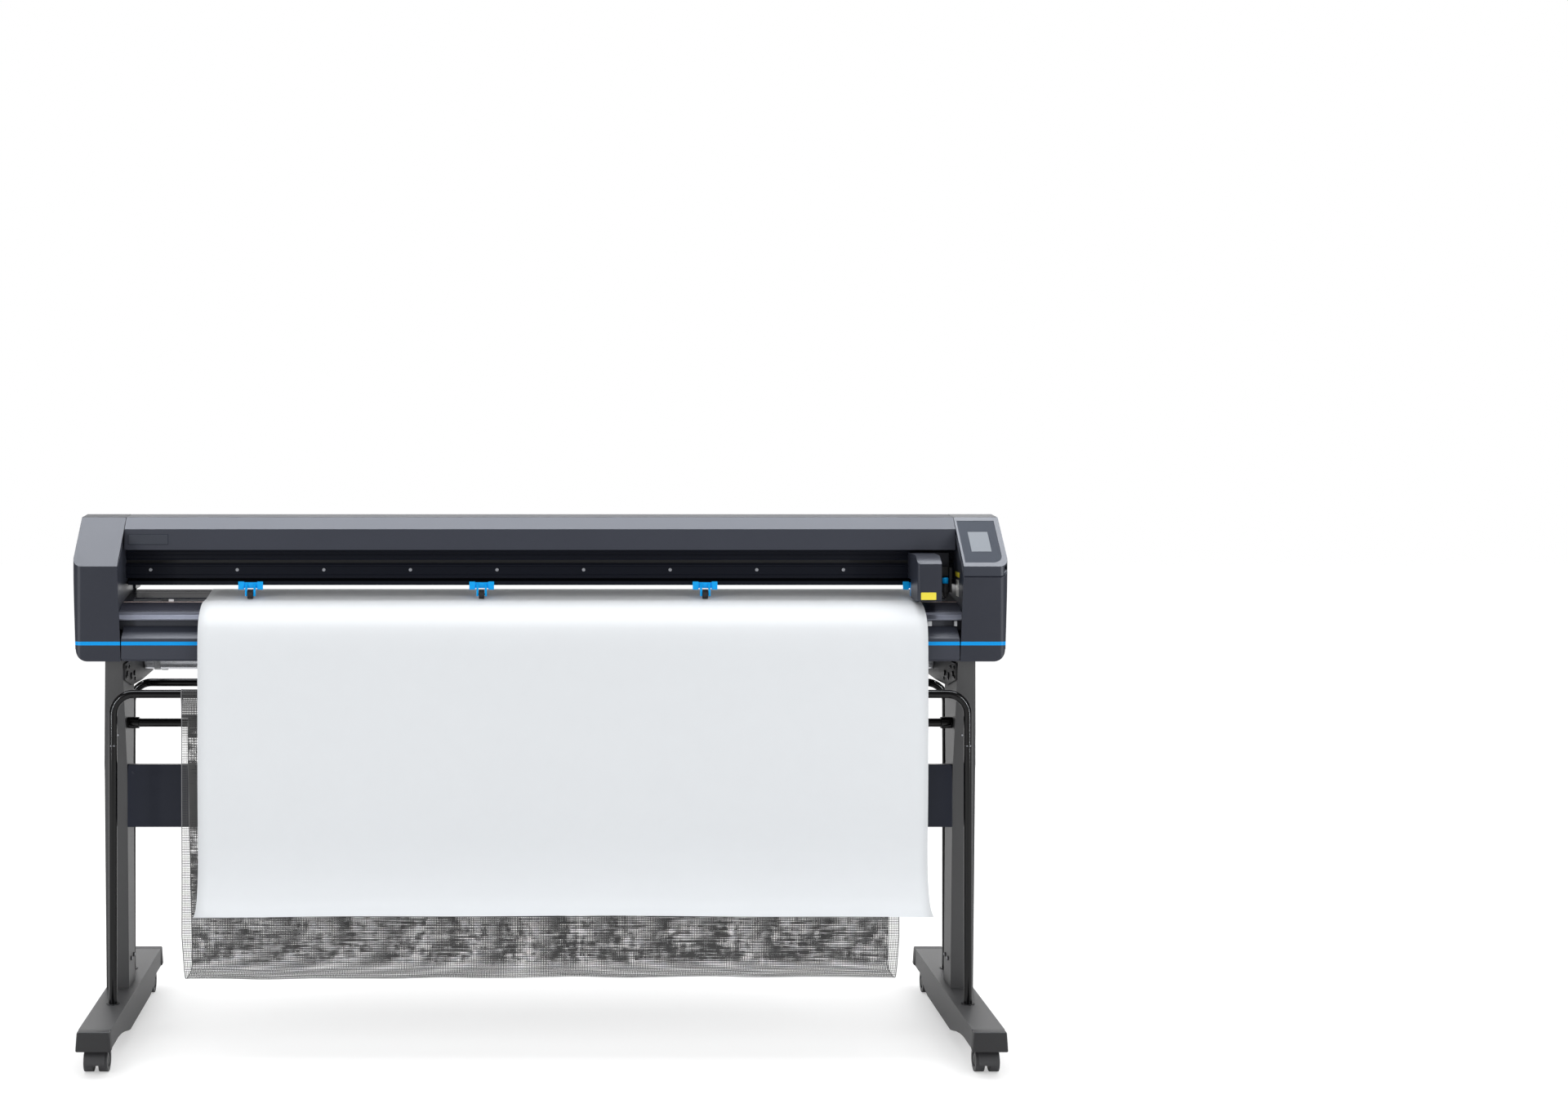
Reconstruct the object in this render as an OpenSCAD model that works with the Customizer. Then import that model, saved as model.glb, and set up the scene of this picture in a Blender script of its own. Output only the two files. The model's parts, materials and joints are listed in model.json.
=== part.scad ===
// Roll-fed vinyl cutter on a wheeled stand, with a mesh catch basket.
// Millimetres. +X is to the operator's right, +Y is to the back, +Z is up.
// The origin is on the floor, midway along the feet and midway across.

/* [Body] */
// Width over both end caps
body_w = 2030; // [1600:2:2100]
// Width of one end cap at its top
cap_w = 98; // [94:1:110]
// Height of the body's underside
body_z = 834; // [834:1:834]
// Distance from the mid-plane to the front face
front_y = 130; // [128:1:135]
// Height of the front edge of the sloping top
brow_z = 1040; // [1036:1:1045]
// Height of the ridge where the slope ends
ridge_z = 1139; // [1130:1:1145]
// Wall of the moulded covers
wall = 3; // [2.5:0.5:3.5]

/* [Stand] */
// Length of each foot
foot_l = 696; // [672:4:760]
// Height of the leg tops
leg_top_z = 828; // [828:1:828]
// Width of a leg
leg_w = 50; // [44:1:50]
// Diameter of the caster wheels
caster_d = 49; // [48:1:49]
// Diameter of the basket tubes
bow_d = 18; // [14:1:18]

/* [Media] */
// Left edge of the loaded sheet
media_x0 = -740; // [-800:10:-200]
// Right edge of the loaded sheet
media_x1 = 836; // [400:1:836]
// Radius of the wound roll
roll_r = 55; // [45:1:60]
// Bore radius of the roll's core
core_r = 38.1; // [37:0.1:39]
// Thickness of the sheet as drawn
media_t = 0.4; // [0.3:0.1:0.5]

/* [Cutting head] */
// Left edge of the carriage cover when it is parked
carriage_x = 817; // [805:1:817]
// Width of the carriage cover
carriage_w = 52; // [48:1:52]
// Distance of the blade axis in front of the beam
blade_y = -36; // [-37:0.5:-36]

/* [Hidden] */
$fn = 48;

half_w = body_w / 2;
// Inner edge of an end cap, and the lean of its sides between the brow and the underside.
cap_x = half_w - cap_w;
cap_lean = 8;
cap_rear_y = 107;
cap_corner_r = 26;
cap_edge_r = 20;
plate_x = cap_x + 3;
plate_t = 4;
bearing_gap = 0.05;

// The body's side outline, anticlockwise in (Y, Z).
ridge_y = -15;
crown = [50, ridge_z + 3];
cap_side = [
    [-front_y, body_z], [cap_rear_y, body_z], [cap_rear_y, ridge_z - 29],
    crown, [ridge_y, ridge_z], [-front_y, brow_z]
];
slope_run = [ridge_y + front_y, ridge_z - brow_z];
slope_l = norm(slope_run);
slope_angle = atan2(slope_run[1], slope_run[0]);

// The lid of the control housing, on the right end cap.
lid_t = 21;
lid_groove = 3;
panel_t = 2;
panel_margin_x0 = 5;
panel_margin_x1 = 11;
panel_s0 = 12;
panel_s1 = slope_l - 11;
panel_r = 22;
screen_w = 44;
screen_s0 = 46;
screen_s1 = 107;
screen_x = half_w - 74;

stripe_z = 869;
stripe_h = 8;
stripe_t = 1.5;

beam_z0 = 987;
beam_z1 = 1069;
beam_d = 60;
beam_wall = 4;
slot_z = 1036;
slot_h = 7;
beam_grooves = [1010, 1029, 1054];
screw_z = 1021.5;
screw_x0 = -865;
screw_step = 192.5;

drum_r = 15;
drum_y = -12;
drum_top = 957.2;
drum_z = drum_top - drum_r;
journal_r = 6;

lift_y = 20;
lift_z = 992;
pinch_x = [-642, -129, 367, 834];
pinch_r = 10;
pinch_z = drum_top + media_t + 0.6 + pinch_r;

belt_y = 26;
belt_z = 1034.5;
belt_h = 10;
belt_t = 1.5;
pulley_r = 12;
pulley_x = half_w - 61;

leg_x = half_w - 105;
leg_taper = 12;
foot_x = half_w - 121;
foot_w = 68;
foot_top = 95;
foot_end_z = 53.5;
caster_x = half_w - 87;
caster_y = foot_l / 2 - 42;
caster_trail = 9;
caster_r = caster_d / 2;
caster_half_w = 25;
web_half_w = 5.5;
hood_gap = 0.7;
hood_skin = 2.1;
axle_r = 4;
stem_r = 5.5;
stem_top = 68;

front_bow_x = half_w - 91;
rear_bow_x = half_w - 82;
bow_bend = 45;
front_bow_y = -137;
front_bow_z = 765;
rear_bow_y = 151;
rear_bow_z = 750;
rod_y = -35;
rod_z = 687;
rod_d = 18.5;
basket_half_w = 776;
fabric_t = 3;
back_fabric_y = -46;

roller_r = 20;
front_roller = [165, 800];
rear_roller = [270, 785];
roller_pin_r = 6;
arm_t = 5;
arm_x = leg_x - arm_t;
roller_x = arm_x - 2;
roll_clear = 0.3;
// The roll rests in the valley between the two support rollers.
valley = rear_roller - front_roller;
valley_rise = sqrt(pow(roll_r + roller_r + roll_clear, 2) - pow(norm(valley) / 2, 2));
roll_c = (front_roller + rear_roller) / 2 + [-valley[1], valley[0]] / norm(valley) * valley_rise;

// ---------- helpers ----------

function unit(v) = v / norm(v);

// A closed anticlockwise outline moved inwards by t, with mitred corners.
function inset(p, t) = [
    for (i = [0 : len(p) - 1])
        let (u = unit(p[i] - p[(i + len(p) - 1) % len(p)]))
        let (v = unit(p[(i + 1) % len(p)] - p[i]))
        let (n = [-u[1], u[0]], m = [-v[1], v[0]])
        p[i] + (n + m) * t / (1 + n * m)
];

function spline_point(a, b, c, d, s) =
    0.5 * (2 * b + (c - a) * s + (2 * a - 5 * b + 4 * c - d) * s * s
        + (3 * b - a - 3 * c + d) * s * s * s);

// A smooth curve through the points of an open path, with k points on each span.
function smooth(p, k) = concat(
    [for (i = [0 : len(p) - 2], j = [0 : k - 1])
        spline_point(p[max(i - 1, 0)], p[i], p[i + 1], p[min(i + 2, len(p) - 1)], j / k)],
    [p[len(p) - 1]]
);

function path_normal(p, i) =
    let (u = unit(p[min(i + 1, len(p) - 1)] - p[max(i - 1, 0)])) [-u[1], u[0]];

// The outline of a band of thickness t along an open path.
function band(p, t) = concat(
    [for (i = [0 : len(p) - 1]) p[i] - path_normal(p, i) * t / 2],
    [for (i = [len(p) - 1 : -1 : 0]) p[i] + path_normal(p, i) * t / 2]
);

// Extrudes a (Y, Z) outline from x0 to x1.
module along_x(x0, x1) {
    translate([x0, 0, 0]) rotate([90, 0, 90]) linear_extrude(x1 - x0) children();
}

// Extrudes an (X, Z) outline from y0 to y1.
module along_y(y0, y1) {
    translate([0, y1, 0]) rotate([90, 0, 0]) linear_extrude(y1 - y0) children();
}

// Extrudes an (X, Y) outline from z0 to z1.
module along_z(z0, z1) {
    translate([0, 0, z0]) linear_extrude(z1 - z0) children();
}

// A box given by its two opposite corners.
module block(a, b) {
    translate(a) cube(b - a);
}

// A cylinder along X through (y, z).
module shaft_x(x0, x1, y, z, r) {
    translate([x0, y, z]) rotate([0, 90, 0]) cylinder(h = x1 - x0, r = r);
}

// A cylinder along Z through (x, y).
module shaft_z(z0, z1, x, y, r) {
    translate([x, y, z0]) cylinder(h = z1 - z0, r = r);
}

module both_sides() {
    children();
    mirror([1, 0, 0]) children();
}

// ---------- end caps ----------

// (X, Z) outline of a cap, t inside its outer face.
module cap_front_outline(t) {
    dx = cap_lean;
    difference() {
        polygon([
            [cap_x - dx, body_z + t], [half_w - dx - t, body_z + t], [half_w - t, brow_z],
            [half_w - t, ridge_z + 10 - t], [cap_x, ridge_z + 10 - t], [cap_x, brow_z]
        ]);
        translate([half_w - dx - cap_corner_r, body_z + cap_corner_r])
            difference() {
                translate([0, -cap_corner_r]) square(cap_corner_r + 4);
                circle(cap_corner_r - t);
                square(cap_corner_r + 8);
            }
    }
}

// (X, Y) outline of a cap, rounded at its front outer edge.
module cap_plan_outline(t) {
    r = cap_edge_r - t;
    x = half_w - t;
    y = -front_y + t;
    difference() {
        polygon([
            [cap_x - cap_lean - 5, y], [x, y], [x, cap_rear_y - t], [cap_x - cap_lean - 5, cap_rear_y - t]
        ]);
        translate([x - r, y + r])
            difference() {
                translate([0, -r - 2]) square(r + 2);
                circle(r);
            }
    }
}

// The solid bounded by a cap's outer faces, t inside them.
module cap_solid(t, top) {
    intersection() {
        along_x(cap_x - cap_lean - 2, half_w + 2) polygon(t == 0 ? top : inset(top, t));
        along_y(-front_y - 2, cap_rear_y + 2) cap_front_outline(t);
        along_z(body_z - 2, ridge_z + 12) cap_plan_outline(t);
    }
}

module cap_shell(top) {
    difference() {
        cap_solid(0, top);
        cap_solid(wall, top);
        stripe_ring(half_w + 5);
    }
}

// The band of skin that the coloured stripe fills, out to x_end.
module stripe_ring(x_end) {
    difference() {
        block([cap_x - cap_lean - 2, -front_y - 2, stripe_z], [x_end, cap_rear_y + 2, stripe_z + stripe_h]);
        cap_solid(stripe_t, cap_side);
    }
}

module left_end_cap() {
    color("#3b3e47") mirror([1, 0, 0]) cap_shell(cap_side);
}

// The right cap stops below the lid of the control housing.
right_side = [
    [-front_y, body_z], [cap_rear_y, body_z], [cap_rear_y, ridge_z - 29 - lid_t - lid_groove],
    crown - [0, lid_t + lid_groove], [ridge_y, ridge_z - lid_t - lid_groove],
    [-front_y, brow_z - lid_t - lid_groove]
];

module right_end_cap() {
    color("#3b3e47")
        difference() {
            cap_shell(right_side);
            along_y(cap_rear_y - wall - 1, cap_rear_y + 1) translate([inlet_x, inlet_z]) inlet_hole();
        }
}

lid_side = [
    [-front_y, brow_z - lid_t], [ridge_y, ridge_z - lid_t], crown - [0, lid_t],
    [cap_rear_y, ridge_z - 29 - lid_t], [cap_rear_y, ridge_z - 29], crown,
    [ridge_y, ridge_z], [-front_y, brow_z]
];

// Places children on the slope: X across, Y up the slope, Z out of it.
module on_slope() {
    translate([0, -front_y, brow_z]) rotate([slope_angle, 0, 0]) children();
}

panel_x0 = cap_x + panel_margin_x0;
panel_x1 = half_w - panel_margin_x1;

// The inset panel's outline, with one large rounded corner.
module panel_outline(gap) {
    difference() {
        translate([panel_x0 + gap, panel_s0 + gap])
            square([panel_x1 - panel_x0 - 2 * gap, panel_s1 - panel_s0 - 2 * gap]);
        translate([panel_x1 - gap - panel_r, panel_s0 + gap + panel_r])
            difference() {
                translate([0, -panel_r - 1]) square(panel_r + 1);
                circle(panel_r);
            }
    }
}

module screen_outline(gap) {
    translate([screen_x + gap, screen_s0 + gap])
        square([screen_w - 2 * gap, screen_s1 - screen_s0 - 2 * gap]);
}

module panel_housing() {
    color("#989ca5")
        difference() {
            cap_solid(0, lid_side);
            on_slope() translate([0, 0, -panel_t - 0.5]) linear_extrude(20) panel_outline(0);
            along_x(cap_x - 20, half_w - wall) polygon(inset(lid_side, wall));
        }
}

module control_panel() {
    color("#63676f")
        on_slope() difference() {
            translate([0, 0, -panel_t - 0.5]) linear_extrude(panel_t) panel_outline(0.1);
            translate([0, 0, -panel_t]) linear_extrude(20) screen_outline(0);
        }
}

module touch_screen() {
    color("#b3b8be")
        on_slope() translate([0, 0, -panel_t]) linear_extrude(1.4) screen_outline(0.1);
}

module accent_trim() {
    color("#2197df") {
        both_sides() intersection() {
            stripe_ring(half_w + 5);
            cap_solid(0, cap_side);
        }
        block([-cover_half_w, -front_y, stripe_z], [cover_half_w, -front_y + stripe_t, stripe_z + stripe_h]);
    }
}

// ---------- long covers ----------

hood_half_w = cap_x - 1;
cover_half_w = cap_x - cap_lean - 1;
hood_t = 2.5;
hood_face_y = -43;
hood_drop_z = 1115;
hood_rear_y = 104;
hood_path = [
    [hood_face_y + hood_t / 2, beam_z1], [hood_face_y + hood_t / 2, hood_drop_z - 1],
    [ridge_y, ridge_z - 1], [50, ridge_z + 1.5], [hood_rear_y, ridge_z - 30],
    [hood_rear_y, 1005]
];

// A bent sheet along a path of straight runs, t thick.
module folded_sheet(path, t) {
    polygon(concat(
        [for (i = [0 : len(path) - 1]) fold_point(path, i, -t / 2)],
        [for (i = [len(path) - 1 : -1 : 0]) fold_point(path, i, t / 2)]
    ));
}

// A path's point pushed sideways by d, mitred so that the sheet keeps its thickness.
function fold_point(p, i, d) =
    let (u = unit(p[max(i, 1)] - p[max(i, 1) - 1]))
    let (v = unit(p[min(i + 1, len(p) - 1)] - p[min(i, len(p) - 2)]))
    let (n = [-u[1], u[0]], m = [-v[1], v[0]])
    p[i] + (n + m) * d / (1 + n * m);

module hood() {
    color("#41444d") {
        along_x(-hood_half_w, hood_half_w) folded_sheet(hood_path, hood_t);
        // A blank name plate at the left of the front face.
        block([-905, hood_face_y - 0.8, 1082], [-820, hood_face_y, 1102]);
    }
}

module rear_cover() {
    color("#35373d")
        along_x(-cover_half_w, cover_half_w)
        folded_sheet([[72, body_z + 1.5], [104, body_z + 1.5], [104, 930], [112, 944]], hood_t);
}

module front_cover() {
    color("#41444d")
        difference() {
            along_x(-cover_half_w, cover_half_w)
                folded_sheet([
                    [-96, 906], [-front_y + hood_t / 2, 883], [-front_y + hood_t / 2, body_z + 6],
                    [-124, body_z + 1.5], [-80, body_z + 1.5]
                ], hood_t);
            block([-half_w, -front_y - 1, stripe_z], [half_w, -front_y + stripe_t, stripe_z + stripe_h]);
        }
}

// ---------- platen ----------

platen_half_w = plate_x - 0.5;
platen_t = 3.5;
// The platen's top surface from front to back.
platen_top = [
    [-96, 937], [-90, 937], [-88, 940], [-84, 940], [-82, 941], [-62, 948.5], [-44, 952.7],
    [-28, 955.2], [5, 958.6], [96, 968.6], [108, 965], [114, 956]
];
strip_w = 5;
rib_y = [50, 71, 92];

// Height of the platen's straight rear ramp at y.
function platen_ramp(y) = 958.6 + (y - 5) * 10 / 91;

module platen() {
    color("#5f5f69")
        difference() {
            along_x(-platen_half_w, platen_half_w)
                polygon(concat(
                    [for (i = [len(platen_top) - 1 : -1 : 0]) platen_top[i]],
                    [for (i = [0 : len(platen_top) - 1]) platen_top[i] - [0, platen_t]]
                ));
            // Slot that the drive drum stands up through.
            block([-901, drum_y - drum_r - 1, 930], [901, drum_y + drum_r + 1, 980]);
            // Seat of the cutting strip.
            along_x(-platen_half_w - 1, platen_half_w + 1)
                translate([blade_y - strip_w / 2, 952.4]) square([strip_w, 8]);
            for (y = rib_y)
                along_x(-platen_half_w - 1, platen_half_w + 1)
                    translate([y, platen_ramp(y) - 1.4]) square([1.6, 5]);
            // Room for the end caps' rear walls.
            both_sides() block([cover_half_w, cap_rear_y - wall - 0.5, 940], [half_w, 120, 980]);
        }
}

// The bevelled bar along the platen's front edge, with its overhanging lip.
module platen_edge() {
    color("#a9abb2")
        along_x(-platen_half_w, platen_half_w)
        polygon([
            [-96, 937], [-98, 937], [-99, 931.5], [-115, 924.5], [-115, 922], [-111, 921],
            [-88, 929], [-88, 933.4], [-96, 933.4]
        ]);
}

module cutting_strip() {
    color("#cdb8b0")
        along_x(-platen_half_w, platen_half_w)
        translate([blade_y - strip_w / 2, 952.4]) square([strip_w, 1.4]);
}

// ---------- frame inside the body ----------

module carriage_beam() {
    y1 = beam_d;
    z0 = beam_z0;
    z1 = beam_z1;
    recess = 1003;
    w = beam_wall;
    color("#23262f")
        difference() {
            along_x(-plate_x, plate_x)
                polygon([
                    [27, recess], [27, z0], [y1, z0], [y1, z1], [0, z1], [-2, z1 - 1], [-2, z1 - 6],
                    [0, z1 - 7], [0, slot_z + slot_h + 3], [1.5, slot_z + slot_h + 1.5],
                    [1.5, slot_z - 1.5], [0, slot_z - 3], [0, recess]
                ]);
            along_x(-half_w, half_w)
                polygon([
                    [27 + w, z0 + w], [y1 - w, z0 + w], [y1 - w, z1 - w], [w + 1, z1 - w],
                    [w + 1, recess + w], [27 + w, recess + w]
                ]);
            // Slot for the belt clamp.
            block([-plate_x - 1, -5, slot_z], [plate_x + 1, w + 3, slot_z + slot_h]);
            // Fine grooves along the front face.
            for (z = beam_grooves)
                block([-plate_x - 1, -3, z], [plate_x + 1, 0.8, z + 1.2]);
        }
}

module beam_screws() {
    color("#8c8f96")
        for (i = [0 : 9])
            translate([screw_x0 + i * screw_step, 0, screw_z]) rotate([90, 0, 0])
                difference() {
                    cylinder(h = 2, r = 3.6);
                    translate([0, 0, 0.8]) cylinder(h = 2, r = 1.6, $fn = 6);
                }
}

module base_chassis() {
    w = 2.5;
    floor_z = body_z + wall;
    color("#4c4e54") {
        along_x(-plate_x, plate_x)
            folded_sheet([
                [-92, 926.5], [-92, 900], [-76, 892], [-76, floor_z + w / 2],
                [68, floor_z + w / 2], [68, 935], [96, 948]
            ], w);
        // Cross ribs that stiffen the tray.
        for (x = [-600 : 300 : 600])
            along_x(x - 1.5, x + 1.5) square_from([-74, floor_z + w], [66, 880]);
    }
}

module square_from(a, b) {
    translate(a) square(b - a);
}

module side_plates() {
    color("#8d9098")
        both_sides() difference() {
            along_x(plate_x, plate_x + plate_t) polygon(inset(right_side, wall + 1));
            shaft_x(plate_x - 1, plate_x + plate_t + 1, drum_y, drum_z, journal_r + bearing_gap);
            shaft_x(plate_x - 1, plate_x + plate_t + 1, lift_y, lift_z, 3 + bearing_gap);
            block([plate_x - 1, belt_y - pulley_r - 6, belt_z - 4],
                [plate_x + plate_t + 1, belt_y + pulley_r + 6, belt_z + belt_h + 4]);
        }
}

motor_size = 44;

module drive_motors() {
    color("#2b2c30") {
        // Carriage motor, upright under its pulley.
        translate([pulley_x, belt_y, belt_z - 60])
            translate([-motor_size / 2, -motor_size / 2, 0]) cube([motor_size, motor_size, 50]);
        // Drum motor, in line with the drum's left end.
        block([-plate_x - plate_t - 52, drum_y - 28, drum_z - 28],
            [-plate_x - plate_t - 8, drum_y + 28, drum_z + 28]);
    }
}

module carriage_belt() {
    r = pulley_r + 0.3;
    x = pulley_x;
    color("#1c1c1e")
        along_z(belt_z, belt_z + belt_h)
        difference() {
            belt_loop(x, r + belt_t);
            belt_loop(x, r);
        }
}

module belt_loop(x, r) {
    union() {
        translate([-x, belt_y - r]) square([2 * x, 2 * r]);
        translate([-x, belt_y]) circle(r);
        translate([x, belt_y]) circle(r);
    }
}

module pulley(x) {
    color("#a8aab0")
        difference() {
            union() {
                shaft_z(belt_z, belt_z + belt_h, x, belt_y, pulley_r);
                shaft_z(belt_z - 1.2, belt_z - 0.2, x, belt_y, pulley_r + 3);
                shaft_z(belt_z - 7, belt_z + belt_h + 1, x, belt_y, 5);
            }
            shaft_z(belt_z + 2, belt_z + belt_h + 3, x + 2, belt_y, 0.9);
        }
}

// ---------- power inlet ----------

inlet_x = 962;
inlet_z = 890;
inlet_w = 27;
inlet_h = 20;
switch_z = 26;
switch_pin_r = 1.6;

module inlet_hole() {
    translate([-inlet_w / 2 - 1.5, -inlet_h / 2 - 1.5]) square([inlet_w + 3, inlet_h + switch_z + 12]);
}

module power_inlet() {
    depth = 22;
    color("#202124") {
        difference() {
            union() {
                block([inlet_x - inlet_w / 2 - 1.4, cap_rear_y - depth, inlet_z - inlet_h / 2 - 1.4],
                    [inlet_x + inlet_w / 2 + 1.4, cap_rear_y, inlet_z + inlet_h / 2 + switch_z + 10.4]);
                block([inlet_x - inlet_w / 2 - 4, cap_rear_y, inlet_z - inlet_h / 2 - 4],
                    [inlet_x + inlet_w / 2 + 4, cap_rear_y + 2, inlet_z + inlet_h / 2 + switch_z + 13]);
            }
            block([inlet_x - inlet_w / 2 + 1.5, cap_rear_y - 18, inlet_z - inlet_h / 2 + 1.5],
                [inlet_x + inlet_w / 2 - 1.5, cap_rear_y + 3, inlet_z + inlet_h / 2 - 1.5]);
            block([inlet_x - 10.5, cap_rear_y - 14, inlet_z + switch_z - 7],
                [inlet_x + 10.5, cap_rear_y + 3, inlet_z + switch_z + 7]);
            shaft_z(inlet_z + switch_z - 9.2, inlet_z + switch_z + 9.2, inlet_x, cap_rear_y - 4,
                switch_pin_r + bearing_gap);
        }
        for (dx = [-7, 0, 7])
            block([inlet_x + dx - 1, cap_rear_y - 18, inlet_z - 3 + (dx == 0 ? 3 : 0)],
                [inlet_x + dx + 1, cap_rear_y - 4, inlet_z + 1 + (dx == 0 ? 3 : 0)]);
    }
}

// A rocker that tips about a line along Z through its middle.
module power_switch() {
    color("#b3282c")
        translate([inlet_x, cap_rear_y - 4, inlet_z + switch_z]) {
            along_z(-6.4, 6.4)
                polygon([[-9, -1], [-9, 4.5], [0, 6.6], [9, 4.5], [9, -1], [0, -4]]);
            shaft_z(-8.8, 8.8, 0, 0, switch_pin_r);
        }
}

// ---------- loaded sheet ----------

// The sheet's middle line from the wound roll over the platen and down to its curled end.
sheet_radius = roll_r + roll_clear + media_t / 2;
platen_nose = [118, 962];
nose_dir = platen_nose - roll_c;
wrap_angle = atan2(nose_dir[1], nose_dir[0]) - acos(sheet_radius / norm(nose_dir));
sheet_start = roll_c + sheet_radius * [cos(wrap_angle), sin(wrap_angle)];
sheet_path = [
    sheet_start, (sheet_start * 2 + platen_nose) / 3, (sheet_start + platen_nose * 2) / 3, platen_nose,
    [109, 966.6], [96, 969.2], [62, 965.4], [28, 961.7], [5, 959.2],
    [drum_y, drum_top + 0.3 + media_t / 2], [blade_y, 956.9], [-50, 956.6], [-64, 956.2],
    [-85, 952.6], [-100, 947.6], [-113, 941.4], [-128, 932], [-140, 918], [-146, 902],
    [-149, 880], [-150, 850], [-150, 780], [-150, 680], [-149, 600], [-146, 520], [-141.5, 450],
    [-140.5, 413], [-145, 366], [-160, 326], [-180, 307], [-205, 299], [-217, 299]
];

module vinyl_sheet() {
    color("#e6eaed")
        along_x(media_x0, media_x1)
        polygon(band(smooth(sheet_path, 4), media_t));
}

module media_roll() {
    color("#f0f1f3")
        difference() {
            shaft_x(media_x0, media_x1, roll_c[0], roll_c[1], roll_r);
            shaft_x(media_x0 - 1, media_x1 + 1, roll_c[0], roll_c[1], core_r + 4);
        }
}

module media_core() {
    color("#b08d63")
        difference() {
            shaft_x(media_x0 - 2, media_x1 + 2, roll_c[0], roll_c[1], core_r + 4);
            shaft_x(media_x0 - 3, media_x1 + 3, roll_c[0], roll_c[1], core_r);
        }
}

// ---------- stand ----------

module leg() {
    color("#454545") {
        intersection() {
            along_x(leg_x, leg_x + leg_w)
                polygon([
                    [-17, foot_top], [60, foot_top], [40, 590], [50, leg_top_z], [-100, leg_top_z], [-41, 582]
                ]);
            // The outer face leans inwards above the cross beam.
            along_y(-120, 80)
                polygon([
                    [leg_x - 1, foot_top - 1], [leg_x + leg_w, foot_top - 1], [leg_x + leg_w, beam_panel_z1],
                    [leg_x + leg_w - leg_taper, leg_top_z], [leg_x - 1, leg_top_z]
                ]);
        }
        // Top plate that the body is bolted to.
        block([leg_x, -100, leg_top_z], [leg_x + leg_w - leg_taper, 56, body_z]);
        // Bolts through the inner face.
        for (y = [8, 40])
            shaft_x(leg_x - 2.5, leg_x, y, 156, 5);
    }
}

module left_leg() {
    mirror([1, 0, 0]) leg();
}

module right_leg() {
    leg();
}

foot_cap_l = 22;

module foot() {
    y1 = foot_l / 2 - foot_cap_l;
    color("#494949")
        difference() {
            along_x(foot_x, foot_x + foot_w)
                polygon([
                    [-y1, foot_end_z], [-235, foot_end_z], [-200, 49.5], [-160, 42], [-120, 32],
                    [-92, 26], [170, 26], [200, 30], [232, 41], [258, foot_end_z], [y1, foot_end_z],
                    [y1, foot_top], [-y1, foot_top]
                ]);
            for (y = [-caster_y, caster_y])
                shaft_z(foot_end_z - 1, stem_top + 1, caster_x, y, stem_r + bearing_gap);
            for (p = [[front_bow_x, front_bow_y], [rear_bow_x, rear_bow_y]])
                shaft_z(foot_top - 30, foot_top + 1, p[0], p[1], bow_d / 2 + 0.1);
        }
}

module left_foot() {
    mirror([1, 0, 0]) foot();
}

module right_foot() {
    foot();
}

module foot_end_caps() {
    color("#3a3a3a")
        both_sides() for (y = [-foot_l / 2, foot_l / 2 - foot_cap_l])
            along_y(y, y + foot_cap_l)
                polygon([
                    [foot_x - 3, foot_end_z], [foot_x + foot_w + 3, foot_end_z],
                    [foot_x + foot_w, foot_top + 0.5], [foot_x, foot_top + 0.5]
                ]);
}

beam_panel_z0 = 457;
beam_panel_z1 = 595;

module cross_beam() {
    color("#42454e") {
        block([-leg_x, -40, beam_panel_z0], [leg_x, -24, beam_panel_z1]);
        // Raised field with sloped edges.
        intersection() {
            along_x(-leg_x + 10, leg_x - 10)
                polygon([
                    [-40, beam_panel_z0 + 8], [-43, beam_panel_z0 + 14], [-43, beam_panel_z1 - 22],
                    [-40, beam_panel_z1 - 16], [-30, beam_panel_z1 - 16], [-30, beam_panel_z0 + 8]
                ]);
            along_z(beam_panel_z0, beam_panel_z1)
                polygon([
                    [-leg_x + 10, -40], [-leg_x + 16, -43], [leg_x - 16, -43], [leg_x - 10, -40],
                    [leg_x - 10, -30], [-leg_x + 10, -30]
                ]);
        }
    }
}

// ---------- basket ----------

// A bent tube: two uprights, two bends and a crossbar.
module bow(x, y, z) {
    r = bow_d / 2;
    color("#1e1e1e") {
        both_sides() {
            shaft_z(foot_top - 28, z - bow_bend, x, y, r);
            translate([x - bow_bend, y, z - bow_bend]) rotate([90, 0, 0])
                rotate_extrude(angle = 90) translate([bow_bend, 0]) circle(r);
        }
        shaft_x(-x + bow_bend, x - bow_bend, y, z, r);
    }
}

module front_basket_bow() {
    bow(front_bow_x, front_bow_y, front_bow_z);
}

module rear_basket_bow() {
    bow(rear_bow_x, rear_bow_y, rear_bow_z);
}

module basket_rod() {
    color("#1e1e1e") {
        shaft_x(-leg_x, leg_x, rod_y, rod_z, rod_d / 2);
        both_sides() difference() {
            shaft_x(leg_x - 26, leg_x, rod_y, rod_z, 12.5);
            shaft_x(leg_x - 27, leg_x + 1, rod_y, rod_z, rod_d / 2);
        }
    }
}

// The sling hangs from the front bow and the middle rod: a sleeve, a wall, a floor, a wall, a sleeve.
fabric_path = smooth([
    [front_bow_y + bow_d / 2 - 8, 754], [front_bow_y - 1, 700], [front_bow_y + 1, 400], [front_bow_y, 200],
    [front_bow_y + 5, 160], [-118, 145.5], [-90, 145], [-62, 149], [back_fabric_y - 3, 165],
    [back_fabric_y, 210], [back_fabric_y + 1, 400], [back_fabric_y + 1.5, 600], [back_fabric_y, 678]
], 3);

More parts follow.
